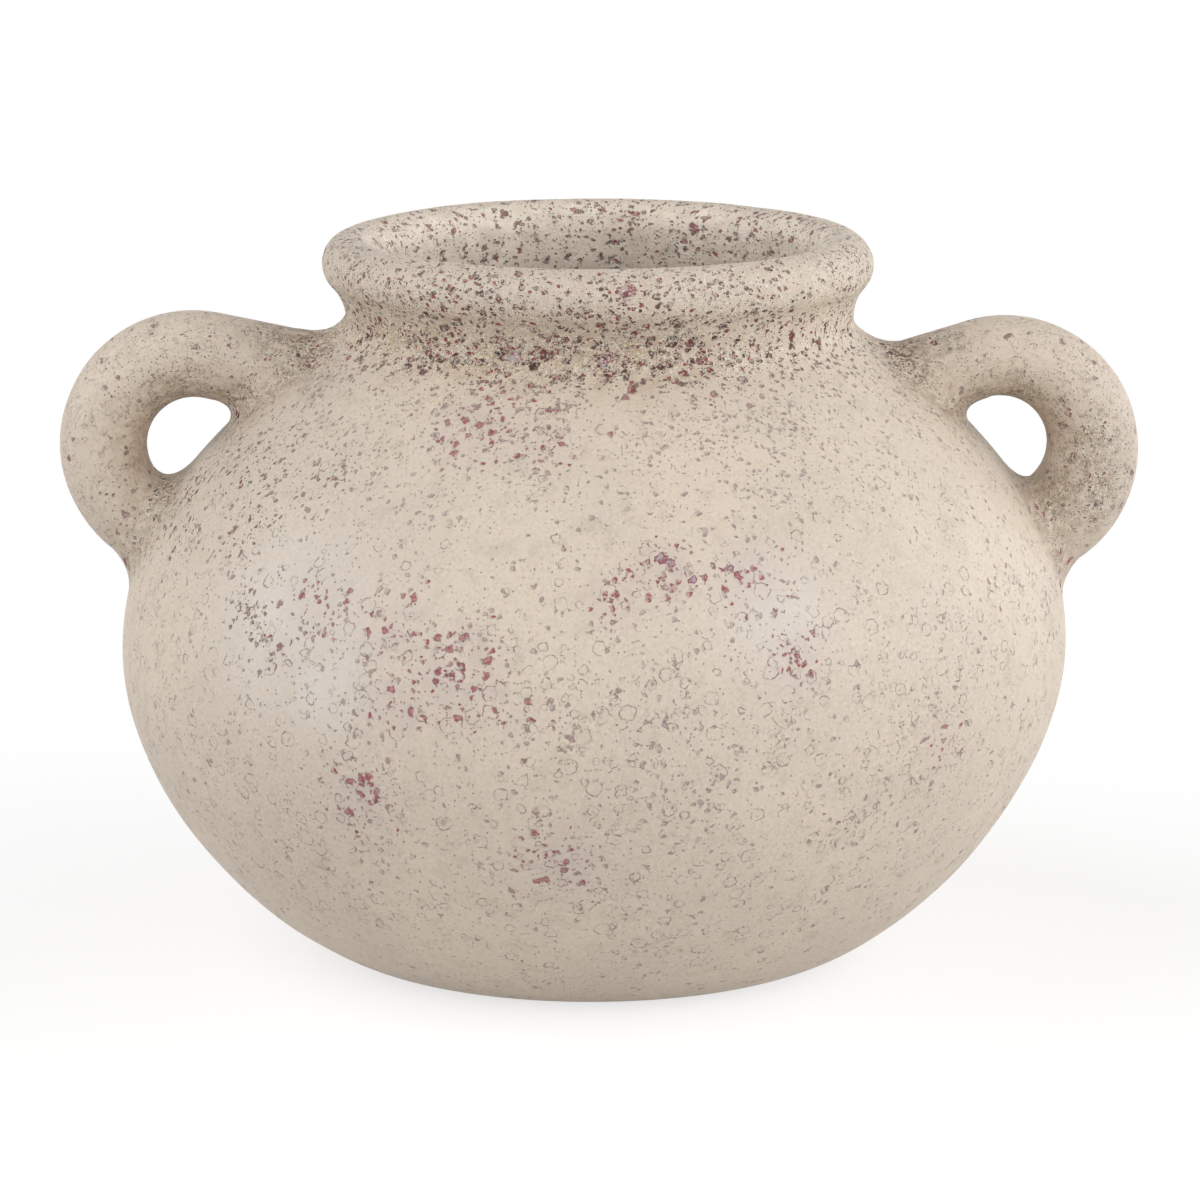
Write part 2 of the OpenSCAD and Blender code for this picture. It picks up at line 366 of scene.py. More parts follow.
real = add(wheel, "GeometryNodeRealizeInstances", {0: closed})
dressed = add(wheel, "GeometryNodeSetMaterial", {"Geometry": real, "Material": taken["Clay"]})
add(wheel, "NodeGroupOutput", {0: dressed})
print("nodes in the wheel:", len(wheel.nodes))


# %% Plain meshes from trees
def grown(piece, tree, **values):
    """Runs a tree on a piece and leaves the result as the piece's own plain mesh."""
    modifier = piece.modifiers.new(tree.name, "NODES")
    modifier.node_group = tree
    for item in tree.interface.items_tree:
        key = item.name.lower().replace(" ", "_")
        if item.in_out == "INPUT" and key in values:
            modifier[item.identifier] = values[key]
    depsgraph = bpy.context.evaluated_depsgraph_get()
    made = bpy.data.meshes.new_from_object(piece.evaluated_get(depsgraph))
    piece.modifiers.remove(modifier)
    old = piece.data
    piece.data = made
    bpy.data.meshes.remove(old)
    made.name = piece.name
    return piece


def new_piece(name, points, faces, facing):
    """A plain mesh whose points know which way the clay faces."""
    mesh = bpy.data.meshes.new(name)
    mesh.from_pydata([tuple(p) for p in points], [], faces)
    mesh.attributes.new("facing", "FLOAT_VECTOR", "POINT").data.foreach_set(
        "vector", np.asarray(facing, np.float32).ravel())
    piece = bpy.data.objects.new(name, mesh)
    bpy.context.scene.collection.objects.link(piece)
    return piece


# %% Joining stretches
coat = bpy.data.materials.new("cream_slip_over_red_clay")
bare = bpy.data.materials.new("bare_fired_clay")

# Steps of a full turn, then gaps between points: outside, at neck and rim, inside
wheel_steps = 720
outer_gap = 0.93 * MM
fine_gap = 0.55 * MM
inner_gap = 5 * MM


def chain(*parts):
    """Joins stretches into one profile, leaving out a point that two of them share."""
    points, facing = [np.concatenate(x) for x in zip(*parts)]
    fresh = np.linalg.norm(points - np.roll(points, 1, axis=0), axis=1) > 1e-7
    return points[fresh], facing[fresh]


def backwards(part, depth=0.0):
    """A stretch run the other way and facing the hollow, set in by a depth."""
    points, facing = part
    return (points - depth * facing)[::-1], -facing[::-1]


# %% Profiles of the five sections
upright = np.array([[0.0, 1.0]])
bevel_point = np.array([[foot_r - slab_bevel, wall]])
slab_edge = np.array([(foot_r, 0), (foot_r - slab_bevel * floor_t / wall, floor_t)])
slab_steps = 12
slab_rings = np.linspace(0, 1, slab_steps)[:, None]
slab_up = upright.repeat(slab_steps, 0)
profiles = {
    "base_slab": chain((slab_rings * slab_edge[0], -slab_up),
                       (slab_rings[::-1] * (slab_edge[1] * [1, 0]) + [0, floor_t], slab_up)),
    "lower_bowl": chain(stretch(lower_curve, outer_gap),
                        backwards(stretch(lower_curve, inner_gap), wall), (bevel_point, upright)),
    "upper_bowl": chain(stretch(shoulder_curve, outer_gap, 0, collar_t),
                        backwards(stretch(shoulder_curve, inner_gap, 0, collar_t), wall)),
    "neck_collar": chain(stretch(shoulder_curve, fine_gap, collar_t, 1),
                         arc(cove_c, cove_r, math.pi, cove_seat, fine_gap, -1),
                         backwards(stretch(throat_curve, 2 * fine_gap, 0, throat_t))),
    "rim_roll": chain(arc(cove_c, cove_r, cove_seat, cove_end, fine_gap, -1),
                      arc(roll_c, roll_r, cove_end - math.pi, math.pi, fine_gap, 1),
                      backwards(stretch(throat_curve, fine_gap, throat_t, 1))),
}
print("points of the profiles:", sum(len(points) for points, _ in profiles.values()))

# %% The five sections
body = []
for name, (points, facing) in profiles.items():
    place = np.insert(points, 1, 0, axis=1)
    way = np.insert(facing, 1, 0, axis=1)
    section = new_piece(name + "_coated", place, [], way)
    on_axis = name == "base_slab"
    grown(section, wheel, steps=wheel_steps, closing_rows=0 if on_axis else 1,
          clay=bare if on_axis else coat)
    body.append(section)
    print(section.name, "faces:", len(section.data.polygons))

# %% [markdown]
# ## The ear handles
#
# Each ear is a rod of clay, bent into a hook and pressed onto the wall. A curve with a round bevel
# could draw the rod, but its ends would stop flat in the wall. So its surface is a rule: a distance
# along the bent centre line and an angle round the rod give every point. Where a line along the rod
# meets the wall is found by halving, so both ends follow the curve of the pot. The hole of the right
# ear lies a little off the middle of its bend, so the rod is thinner above the hole than beside it.

# %% Sizes of the handles
sides = {"right": 1, "left": -1}
bend_r = 22.2 * MM
upper_end = {"right": math.radians(90 + 17), "left": math.radians(90 + 12)}
lower_end = math.radians(90 + 15)
# How far the hole of each ear lies off the middle of its bend, outwards and up
hole_shift = {"right": (-1.3 * MM, 1.7 * MM), "left": (0.0, 0.0)}

handle_box = {side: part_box(side + "_handle") for side in sides}
rod_r = handle_box["right"][1].y
outermost = {"right": handle_box["right"][1].x, "left": -handle_box["left"][0].x}
bend_x = {side: outermost[side] - bend_r - rod_r for side in sides}
bend_z = {side: handle_box[side][1].z - bend_r - rod_r for side in sides}
print("rod and bend radius in mm:", round(rod_r / MM, 2), round(bend_r / MM, 2))


# %% Surface of a rod
def hole_weight(around):
    """One on the side of the rod that faces the hole, nothing on the far side."""
    return (0.5 - 0.5 * np.cos(around)) ** 2


def rod_point(side, run, around, r):
    """Point on one side's rod, drawn on the right. run climbs from the outermost point of the bend."""
    end = upper_end[side]
    bent = np.minimum(run / bend_r, end)
    straight = np.maximum(run - bend_r * end, 0)
    shift = hole_shift[side][0] * np.cos(bent) + hole_shift[side][1] * np.sin(bent)
    reach = bend_r + r * np.cos(around) + hole_weight(around) * shift
    x = bend_x[side] + reach * np.cos(bent) - straight * math.sin(end)
    up = bend_z[side] + reach * np.sin(bent) + straight * math.cos(end)
    return np.stack(np.broadcast_arrays(x, r * np.sin(around), up), axis=-1)


def rod_facing(side, run, around):
    """The way that the rod faces at such a point."""
    bent = np.minimum(run / bend_r, upper_end[side])
    return np.stack(np.broadcast_arrays(np.cos(around) * np.cos(bent), np.sin(around),
                                        np.cos(around) * np.sin(bent)), axis=-1)


# %% Where a rod meets the wall
halvings = 40


def unit(v):
    """Vectors brought to length one."""
    return v / np.linalg.norm(v, axis=-1, keepdims=True)


def on_wall(p):
    """A point near the wall brought onto it at its own height, and the way the wall faces there."""
    level = unit(p * [1, 1, 0])
    z = p[..., 2]
    step = 0.1 * MM
    slope = (body_r(z + step) - body_r(z - step)) / (2 * step)
    face = level - slope[..., None] * [0, 0, 1]
    return body_r(z)[..., None] * level + z[..., None] * [0, 0, 1], unit(face)


def crease(side, around, up):
    """Distance along the rod at which each of its lines enters the wall."""
    out = np.zeros_like(around)
    well_inside = bend_r * upper_end[side] + 4 * rod_r if up > 0 else -bend_r * lower_end
    wall_side = np.full_like(around, well_inside)
    for _ in range(halvings):
        middle = (out + wall_side) / 2
        p = rod_point(side, middle, around, rod_r)
        free = np.hypot(p[:, 0], p[:, 1]) > body_r(p[:, 2])
        out = np.where(free, middle, out)
        wall_side = np.where(free, wall_side, middle)
    return out


# %% Skins over lattices of points
def lattice(rows, columns, wrap_rows):
    """Four-cornered faces over a lattice whose columns, and if asked rows, close up."""
    faces = []
    for i in range(rows if wrap_rows else rows - 1):
        for j in range(columns):
            next_i = (i + 1) % rows
            next_j = (j + 1) % columns
            faces.append((i * columns + j, i * columns + next_j,
                          next_i * columns + next_j, next_i * columns + j))
    return faces


def clay_skin(name, side, points, faces, facing):
    """A piece drawn on the right, set on its own side, its faces turned outwards."""
    flip = [sides[side], 1, 1]
    piece = new_piece(name, points * flip, faces, facing * flip)
    shell = bmesh.new()
    shell.from_mesh(piece.data)
    bmesh.ops.recalc_face_normals(shell, faces=shell.faces)
    shell.to_mesh(piece.data)
    shell.free()
    piece.data.materials.append(coat)
    print(piece.name, "faces:", len(piece.data.polygons))
    return piece


# %% Handle rods
rod_sides = 136
rod_rings = 210
# How far the ends go into the wall
tuck = 2 * MM


def handle_rod(side):
    """A bent rod, its ends tucked into the wall and closed by a fan of faces."""
    around = np.linspace(0, 2 * math.pi, rod_sides, endpoint=False)
    low = crease(side, around, -1) - tuck
    high = crease(side, around, 1) + tuck
    run = low + (high - low) * np.linspace(0, 1, rod_rings)[:, None]
    points = rod_point(side, run, around, rod_r)
    facing = rod_facing(side, run, around)
    ends = np.stack([points[0].mean(0), points[-1].mean(0)])
    faces = lattice(rod_rings, rod_sides, False)
    hub = rod_rings * rod_sides
    for first in (0, hub - rod_sides):
        faces += [(hub, first + j, first + (j + 1) % rod_sides) for j in range(rod_sides)]
        hub += 1
    return clay_skin(side + "_handle_coated", side, np.concatenate([points.reshape(-1, 3), ends]), faces,
                     np.concatenate([facing.reshape(-1, 3), 0 * ends]))


ears = [handle_rod(side) for side in sides]

# %% [markdown]
# ## The luting coils
#
# A rod only pressed on would crack off, so the potter smooths a thin coil of clay into the crease
# round each root. A Bevel modifier can't round a crease between two pieces. So the coil follows the
# crease, and its section is a cove: a curve that leaves along the rod and lands along the wall.
# Towards the hole some coils are fuller, as the picture shows.

# %% Luting coils
coil_leg = 8 * MM
# How much further a coil reaches on the side of the hole: side, upper 1 or lower -1
coil_fill = {("right", 1): 0.0, ("right", -1): 1 * MM, ("left", 1): 2 * MM, ("left", -1): 3 * MM}
coil_steps = 150
cove_steps = 16
# How far the edges of a coil run on, how deep they dip there, and how deep the coil is rooted
overlap = 1.2 * MM
sink = 0.12 * MM
bite = 1.2 * MM


def luting_coil(side, up):
    """A coil with a cove section, closed where it bites into the rod and the wall."""
    around = np.linspace(0, 2 * math.pi, coil_steps, endpoint=False)
    run = crease(side, around, up)
    corner = rod_point(side, run, around, rod_r)
    wall_face = on_wall(corner)[1]
    away = rod_facing(side, run, around)
    spread = unit(away - np.sum(away * wall_face, axis=1, keepdims=True) * wall_face)
    leg = coil_leg + coil_fill[side, up] * hole_weight(around)
    foot = on_wall(corner + leg[:, None] * spread)[0]
    edge = rod_point(side, run - up * leg, around, rod_r)
    t = np.linspace(0, 1, cove_steps)[:, None, None]
    cove = (1 - t) ** 2 * edge + 2 * t * (1 - t) * corner + t * t * foot
    along = 2 * (1 - t) * (corner - edge) + 2 * t * (foot - corner)
    across = np.roll(cove, -1, axis=1) - np.roll(cove, 1, axis=1)
    cove_face = unit(np.cross(along, across))
    cove_face *= np.sign(np.sum(cove_face[0] * away, axis=1))[None, :, None]
    run_over = run - up * (leg + overlap)
    foot_over, foot_over_face = on_wall(corner + (leg + overlap)[:, None] * spread)
    hidden = np.zeros_like(edge)
    rows = [
        (rod_point(side, run_over, around, rod_r - bite), hidden),
        (rod_point(side, run_over, around, rod_r - sink), rod_facing(side, run_over, around)),
        *zip(cove, cove_face),
        (foot_over - sink * foot_over_face, foot_over_face),
        (foot_over - bite * foot_over_face, hidden),
        (rod_point(side, run + up * bite, around, rod_r - bite), hidden),
    ]
    points, facing = [np.concatenate(x) for x in zip(*rows)]
    name = f"{side}_{'upper' if up > 0 else 'lower'}_luting_coil_coated"
    return clay_skin(name, side, points, lattice(len(rows), coil_steps, True), facing)


ears += [luting_coil(side, up) for side in sides for up in (1, -1)]

# %% [markdown]
# ## Where the coat broke
#
# The coat is not worn evenly. Craters crowd under the rim and pits inside the neck, where it was
# thick. Red pits lie in loose patches, a few spots are torn off, a few get a pale painted sheen where
# the side lamps glint on the belly, the outlines of burst bubbles cover the lower belly, and the ears
# are stained. A painted mask could say where, but it would need an image. So each of these is a zone:
# a number on every point of the mesh, made from the height, the way the clay faces and soft round
# patches at bearings and heights read off the picture. Other zones paint shade into the creases and
# light into the neck. The back, which it doesn't show, gets patches drawn at random.

# %% Patches of wear
# Bearing from the front in degrees, height and reach in mm, how much pepper, how much red
patches = [
    (-16, 91, 9, 0.9, 1.0), (-23, 83, 6, 0.7, 0.7), (-24, 101, 8, 0.7, 0.5), (-36, 103, 8, 0.7, 0.5),
    (-46, 98, 7, 0.6, 0.1), (-40, 91, 6, 0.5, 0.4), (-28, 60, 8, 0.7, 0.6), (-4, 47, 8, 0.7, 0.7),
    (32, 53, 5, 0.7, 0.1), (19, 112, 8, 0.6, 0.5), (8, 113, 6, 0.8, 0.9), (2, 108, 5, 0.7, 0.8),
    (24, 93, 5, 0.9, 0.9), (45, 68, 6, 0.5, 0.3), (62, 101, 6, 0.5, 0.1), (33, 140, 10, 0.4, 0.0),
    (-53, 117, 9, 0.6, 0.1), (-68, 109, 8, 0.7, 0.1), (-22, 141, 8, 0.9, 0.8), (-9, 139, 7, 0.7, 0.5),
    (19, 143, 8, 0.5, 0.1), (-9, 82, 8, 0.5, 0.2), (5, 78, 9, 0.35, 0.0), (12, 63, 9, 0.35, 0.0),
    (-62, 128, 12, 0.6, 0.1), (-42, 128, 8, 0.5, 0.1),
]
back_patches = 36
draw = np.random.default_rng(5)
for _ in range(back_patches):
    pepper = draw.uniform(0.4, 0.9)
    patches.append((draw.uniform(75, 285), draw.uniform(40, 145), draw.uniform(5, 10), pepper,
                    pepper * draw.uniform(0.0, 1.0)))
print("patches of wear:", len(patches))

# %% Torn spots, painted sheen and stained spots
# Spots where the coat is torn off: bearing, height, reach
torn_spots = [(6, 172, 2.4), (-20, 156, 3), (-14, 155, 2.2), (1, 155, 2.8), (8, 116.5, 1.3),
              (9, 115, 1.3), (10.5, 113, 1.3), (12, 111.5, 1.3), (13.5, 112.5, 1.3), (15, 114, 1.3),
              (17, 113.5, 1.3)]

# Spots of painted sheen, a pale and cool tint where the side lamps glint: bearing, height, reach
painted_sheen_spots = [(-40, 99, 15), (-33, 86, 9), (22, 103, 9)]

# Stains on the front of the ears: outwards and up from the middle of the bend, reach, how dark
ear_stains = {
    "right": [(21.5, 4, 4, 0.9), (18.5, -2, 4, 0.8), (22, -8, 4.5, 1.0), (14, -8, 3.5, 0.9),
              (12.5, -12, 3, 0.8), (20, -14, 3.5, 0.7), (3, 14.5, 3, 0.8), (-5, 14, 3, 0.7),
              (-24, 24, 4, 1.0), (-16, 27, 3.5, 0.7)],
    "left": [(0, 13.5, 4, 0.7), (7, 12.5, 3.5, 0.6), (-7.5, 11.5, 3.5, 0.7), (-24, 24.5, 4, 1.0),
             (-19, 27, 3, 0.8), (-28, 22.5, 3.5, 1.0), (6.7, -11, 2.5, 0.8), (-9, 4, 2.5, 0.6)],
}
print("torn, pale and stained spots:", len(torn_spots), len(painted_sheen_spots),
      sum(len(spots) for spots in ear_stains.values()))


# %% Soft edges
def ramp(x, start, end):
    """Nothing before the start, one past the end, and a soft slope between."""
    t = np.clip((x - start) / (end - start), 0, 1)
    return t * t * (3 - 2 * t)


def patch(place, turn, height, reach, softness=2.0):
    """A soft round patch on the outer wall, one at its middle."""
    bearing = math.radians(turn)
    r = float(body_r(height * MM)) / MM
    middle = np.array([r * math.sin(bearing), -r * math.cos(bearing), height])
    gap = np.sum((place / MM - middle) ** 2, axis=1)
    return np.exp(-gap / (softness * reach ** 2))


# %% Zones of the patches
def patch_zones(place):
    """How peppered, red and torn off the coat is at each point, and how much painted sheen it gets."""
    pepper, red, bloom = np.zeros((3, len(place)))
    for turn, height, reach, peppered, reddened in patches:
        pepper = np.maximum(pepper, peppered * patch(place, turn, height, reach))
        red = np.maximum(red, reddened * patch(place, turn, height, reach, 1.3))
    torn = 0.45 * red
    for spot in torn_spots:
        torn = np.maximum(torn, patch(place, *spot))
    # Painted sheen: pale patches where the side lamps glint on the belly
    for spot in painted_sheen_spots:
        bloom = np.maximum(bloom, patch(place, *spot))
    return pepper, red, torn, bloom


# %% Zones of the ears
def ear_zones(x, y, z):
    """Distance off the rods, how far a point faces a hole, and how stained it is."""
    off_rod = np.full_like(x, np.inf)
    hole_side, stain = np.zeros((2, len(x)))
    for side, sign in sides.items():
        across = x * sign - bend_x[side] / MM
        above = z - bend_z[side] / MM
        end = upper_end[side]
        past_bend = above * math.cos(end) - across * math.sin(end) > 0
        arm = np.where(past_bend, across * math.cos(end) + above * math.sin(end), np.inf) - bend_r / MM
        ring = np.hypot(across, above) - bend_r / MM
        for gap in (ring, arm):
            off_rod = np.minimum(off_rod, np.maximum(np.hypot(gap, y) - rod_r / MM, 0))
        near_rod = np.exp(-(np.hypot(ring, y) / 11.5) ** 8)
        hole_side = np.maximum(hole_side, ramp(-ring, -3, 9) * near_rod)
        for spot_across, spot_above, reach, dark in ear_stains[side]:
            gap = (across - spot_across) ** 2 + (above - spot_above) ** 2
            stain = np.maximum(stain, dark * np.exp(-gap / (2 * reach ** 2)) * (y < 0))
    return off_rod, hole_side, stain


# %% Zones on the clay
def coat_zones(place, facing):
    """How much of each kind of break the coat has at each point."""
    x, y, z = (place / MM).T
    r = np.hypot(x, y)
    outwards = np.sum(facing[:, :2] * place[:, :2], axis=1) / np.maximum(r * MM, 1e-9)
    hollow = ramp(-outwards, 0.1, 0.7)
    outer = 1 - hollow
    off_wall = np.maximum(r - body_r(place[:, 2]) / MM, 0)
    off_rod, hole_side, stain = ear_zones(x, y, z)
    pepper, red, torn, bloom = patch_zones(place)
    bearing = np.degrees(np.arctan2(x, -y))

    # Regions of the pot, by height and by distance off the wall or a rod, all in millimetres
    root = np.exp(-(off_wall / 8) ** 2 - (off_rod / 9) ** 2) * ramp(z, 84, 98)
    ear = ramp(off_wall, 6, 20)
    right_ear = ear * (x > 0)
    arm_top = (np.exp(-(off_wall / 12) ** 2 - (off_rod / 3) ** 2) * ramp(facing[:, 2], 0.2, 0.8)
               * ramp(z, 120, 146))
    on_body = outer * (1 - ramp(off_wall, 1, 8))
    neck = np.exp(-((z - 156) / 7) ** 2) * on_body
    under_rim = np.exp(-((z - 155.5) / 6) ** 2) * on_body
    rim = ramp(z, 160, 166) * outer
    throat = ramp(z, 138, 150) * hollow
    shoulder = ramp(z, 112, 130) * outer * (1 - ear)
    low_belly = ramp(z, 8, 40) * (1 - ramp(z, 90, 120)) * outer
    low = (1 - ramp(z, 20, 60)) * outer
    clean_band = np.exp(-((z - 123) / 7) ** 2 - (bearing / 45) ** 2) * outer
    kept = 1 - 0.35 * clean_band
    worn_side = np.interp(bearing, [-180, -90, -50, -15, 10, 35, 60, 90, 180],
                          [0.6, 0.7, 0.9, 1.0, 1.0, 0.6, 0.45, 0.5, 0.6])
    crater_side = np.interp(bearing, [-180, -75, -58, 8, 28, 180], [0.0, 0.3, 1.0, 1.0, 0.25, 0.0])

    # The weights were tuned until the marks in each region came close to those in the picture
    return {
        "pin_zone": kept * (0.19 + 0.4 * pepper + 0.2 * shoulder) + 0.45 * worn_side * neck
                    + 0.58 * rim + 0.35 * root + 0.65 * throat + 0.24 * ear + 0.2 * hole_side
                    + 0.8 * stain + 0.12 * low,
        "pit_zone": kept * (0.06 + 0.7 * pepper + 0.24 * shoulder) + 1.4 * worn_side * neck
                    + 0.65 * worn_side * rim + 0.2 * root + 0.45 * throat + 0.35 * stain,
        "bubble_zone": kept * (0.07 + 0.22 * low_belly + 0.4 * pepper + 0.45 * red)
                       + 1.1 * worn_side * neck + 0.45 * worn_side * rim + 0.35 * throat,
        "crater_zone": 1.5 * crater_side * under_rim,
        "blister_zone": kept * (0.12 + 0.8 * low_belly + 0.4 * pepper) * (1 - throat) * (1 - rim)
                        * (1 - neck) * (1 - ear),
        "redness": 2.0 * red + worn_side * neck + 0.65 * worn_side * rim + 0.65 * throat
                   + 0.35 * root + 0.2 * ear + 0.3 * stain,
        # Deep: creases where the coat is thick; their marks get dark floors, painted shade of deeper
        # holes
        "deep_and_shaded": 1.3 * neck + 0.85 * rim + 0.55 * root + 0.55 * throat + 0.4 * ear + 0.6 * stain
                + 1.4 * pepper * ramp(-bearing, 25, 50),
        # Grime is tan dirt together with painted shade: it darkens the creases, under the rim and by the
        # holes
        "grime_and_painted_shade": 0.6 * root + 1.25 * worn_side ** 2 * neck + 0.3 * throat + 0.1 * right_ear
                 + 0.6 * hole_side + 0.2 * rim + 0.2 * stain,
        "dirt": 0.3 * ramp(root, 0.3, 0.85) + 0.6 * arm_top + 0.25 * hole_side + 0.45 * stain,
        "crackle": 0.6 * ear + 0.3 * hole_side + 0.25 * root + 0.5 * stain,
        # Painted light: the inside of the neck is painted lighter, standing in for light that reaches it
        "inner": throat,
        "torn": torn,
        # Painted sheen: a pale, cool patch painted where the side lamps glint on the belly
        "bloom": bloom,
    }


# %% [markdown]
# ## Marks of burst bubbles
#
# Pinholes, pits, bubbles, craters and blisters differ in size, and one recipe makes them all. Points
# could be scattered over the mesh, but a texture costs less. A Voronoi texture puts one centre in each
# cell of a given size, random numbers per cell decide if a mark is there and how wide it is, and a
# little noise bends its edge. The cells are wide enough for their marks, so that few are cut off
# straight. Geometry Nodes and the shader have the same textures, so the same recipe sinks the larger
# marks into the mesh and paints their floors, and the two always meet.

# %% Recipe for the marks
# In millimetres: cell, smallest and largest radius, how far noise bends the edge
families = {
    "pinholes": (0.8, 0.08, 0.26, 0.35),
    "pits": (1.6, 0.25, 0.72, 1.6),
    "bubbles": (2.6, 0.4, 1.1, 2.3),
    "craters": (3.0, 0.5, 1.25, 1.9),
    "blisters": (5.0, 0.8, 2.1, 1.4),
}
# Sizes in millimetres of the noise that bends edges and of the clouds that thin the marks out
bend_size = 1.4
cloud_size = 17
print("families of marks:", ", ".join(families))


def unevenness(tree, place):
    """What all families share: a vector that bends edges, and three clouds that thin them out."""
    bend = add(tree, "ShaderNodeTexNoise", {"Vector": place, "Scale": 1 / (bend_size * MM),
                                            "Detail": 1.0})
    centred = add(tree, "ShaderNodeVectorMath", {0: bend.outputs["Color"], 1: (0.5, 0.5, 0.5)},
                  operation="SUBTRACT")
    cloud = add(tree, "ShaderNodeTexNoise", {"Vector": place, "Scale": 1 / (cloud_size * MM),
                                             "Detail": 2.0})
    stronger = add(tree, "ShaderNodeMapRange", {"Vector": cloud.outputs["Color"],
                                                "From Min": (0.34,) * 3, "From Max": (0.64,) * 3,
                                                "To Min": (0.4,) * 3, "To Max": (1.6,) * 3},
                   data_type="FLOAT_VECTOR")
    clouds = add(tree, "ShaderNodeSeparateXYZ", {0: stronger})
    return centred, [clouds.outputs[i] for i in range(3)]


def marks(tree, place, bend, cloud, zone, family):
    """Millimetres inside a mark's edge, if the mark is there, its luck, and how far to its one side."""
    cell, smallest, largest, wobble = families[family]
    density = add(tree, "ShaderNodeMath", {0: zone, 1: cloud}, operation="MULTIPLY")
    moved = add(tree, "ShaderNodeVectorMath", {0: bend, 1: (wobble * MM,) * 3, 2: place},
                operation="MULTIPLY_ADD")
    cells = add(tree, "ShaderNodeTexVoronoi", {"Vector": moved, "Scale": 1 / (cell * MM)})
    luck = add(tree, "ShaderNodeSeparateXYZ", {0: cells.outputs["Color"]})
    there = add(tree, "ShaderNodeMath", {0: luck.outputs["X"], 1: density}, operation="LESS_THAN")
    radius = add(tree, "ShaderNodeMapRange", {"Value": luck.outputs["Y"], "To Min": smallest,
                                              "To Max": largest})
    inside = add(tree, "ShaderNodeMath", {0: cells.outputs["Distance"], 1: -cell, 2: radius},
                 operation="MULTIPLY_ADD")
    off = add(tree, "ShaderNodeVectorMath", {0: moved, 1: cells.outputs["Position"]},
              operation="SUBTRACT")
    way = add(tree, "ShaderNodeVectorMath", {0: cells.outputs["Color"], 1: (0.5, 0.5, 0.5)},
              operation="SUBTRACT")
    lean = add(tree, "ShaderNodeVectorMath", {0: off, 1: way}, operation="DOT_PRODUCT")
    return inside, there, luck.outputs["Z"], lean


# %% Open side of a bubble
def filled_side(tree, family, lean, luck, redness, deep_and_shaded):
    """Where a bubble's skin is gone: a crescent on the open belly, all of it in patches."""
    worn = add(tree, "ShaderNodeMath", {0: deep_and_shaded, 1: 0.5, 2: redness}, operation="MULTIPLY_ADD")
    open_share = add(tree, "ShaderNodeMath", {0: worn, 1: luck}, operation="SUBTRACT")
    largest = families[family][2]
    reach = add(tree, "ShaderNodeMath", {0: open_share, 1: largest * MM}, operation="MULTIPLY")
    edge = add(tree, "ShaderNodeMath", {0: lean, 1: reach}, operation="ADD")
    return add(tree, "ShaderNodeMapRange", {"Value": edge, "From Min": -0.06 * MM,
                                            "From Max": 0.06 * MM}, interpolation_type="SMOOTHSTEP")


# %% [markdown]
# ## The coat as real relief
#
# A Displace modifier could sink the marks, but it knows no zones. So a second tree moves each point
# against the way it faces: slow lumps from the hands that shaped the pot, shallow dishes where bubbles
# rose, and deeper beds where their skin is gone. All of it only sinks, so the pot stays inside its own
# box, and it fades out at the foot, which stays flat. Each point keeps its first place for the
# colours. Above the shoulder that place is stretched upwards, which makes the marks in the cove flat
# and wide, as the brush drew them. Marks finer than the mesh are left to bump.

# %% Relief tree
lump_size = 38 * MM
foot_flat = 0.5 * MM
foot_full = 8 * MM
relief, taken = new_tree("coat_relief", [("Lump Depth", "NodeSocketFloat"),
                                         ("Dish Depth", "NodeSocketFloat"),
                                         ("Bed Depth", "NodeSocketFloat"),
                                         ("Clay", "NodeSocketMaterial")])
place = add(relief, "GeometryNodeInputNamedAttribute", {"Name": "place"}, data_type="FLOAT_VECTOR")
zone = {name: add(relief, "GeometryNodeInputNamedAttribute", {"Name": name}, data_type="FLOAT")
        for name in ("bubble_zone", "crater_zone", "blister_zone", "redness", "deep_and_shaded")}
facing = add(relief, "GeometryNodeInputNamedAttribute", {"Name": "facing"}, data_type="FLOAT_VECTOR")
lump = add(relief, "ShaderNodeTexNoise", {"Vector": place, "Scale": 1 / lump_size, "Detail": 1.5})
lump_sink = add(relief, "ShaderNodeMapRange", {"Value": lump, "From Min": 0.25, "From Max": 0.75,
                                               "To Min": -1.0, "To Max": 0.0})
total = add(relief, "ShaderNodeMath", {0: lump_sink, 1: taken["Lump Depth"]}, operation="MULTIPLY")
bend, clouds = unevenness(relief, place)

# %% Dishes and beds
# Family, zone, how far in from its edge a dish is full, in millimetres
for family, zone_name, soft_edge in (("bubbles", "bubble_zone", 0.5), ("craters", "crater_zone", 0.5),
                                     ("blisters", "blister_zone", 0.8)):
    inside, there, luck, lean = marks(relief, place, bend, clouds[1], zone[zone_name], family)
    dish = add(relief, "ShaderNodeMapRange", {"Value": inside, "From Min": -0.1, "From Max": soft_edge},
               interpolation_type="SMOOTHSTEP")
    depth = taken["Dish Depth"]
    if family != "blisters":
        bed = filled_side(relief, family, lean, luck, zone["redness"], zone["deep_and_shaded"])
        depth = add(relief, "ShaderNodeMath", {0: bed, 1: taken["Bed Depth"], 2: depth},
                    operation="MULTIPLY_ADD")
    shaped = add(relief, "ShaderNodeMath", {0: dish, 1: depth}, operation="MULTIPLY")
    sunk = add(relief, "ShaderNodeMath", {0: shaped, 1: there}, operation="MULTIPLY")
    total = add(relief, "ShaderNodeMath", {0: total, 1: sunk}, operation="SUBTRACT")

